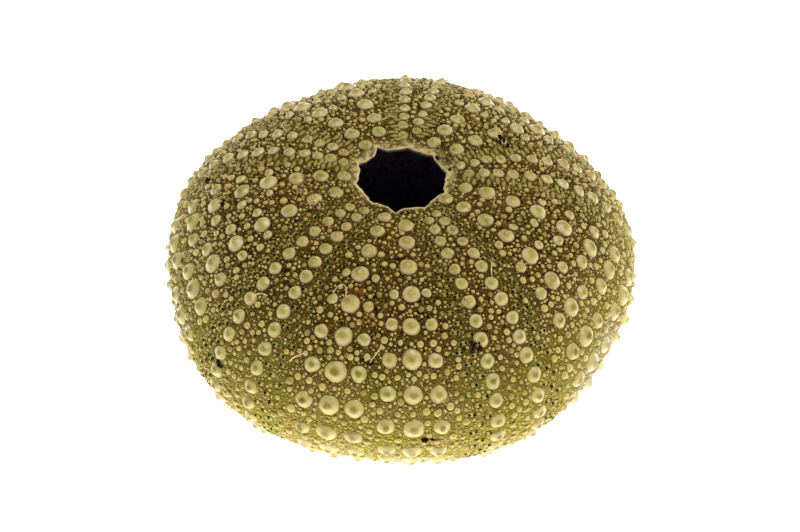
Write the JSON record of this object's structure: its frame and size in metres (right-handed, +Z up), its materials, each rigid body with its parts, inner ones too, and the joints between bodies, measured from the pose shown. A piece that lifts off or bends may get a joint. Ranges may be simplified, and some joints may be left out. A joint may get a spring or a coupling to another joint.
{
  "type": "sea urchin shell",
  "caption": "Bare, dry sea urchin shell: a low hollow dome with rows of round tubercles, open at the top and at the mouth underneath.",
  "frame": {"origin": "on the surface the shell rests on, below the middle of the shell", "axes": "+Z up through the hole in the top; -Y is the side that faces the viewer in the picture, +X to the viewer's right"},
  "size_m": [0.0465, 0.0463, 0.0228],
  "materials": {
    "shell": "dry matt calcite, olive with pale cream tubercles"
  },
  "bodies": {
    "root": {"urchin_shell": "shell"}
  },
  "joints": []
}
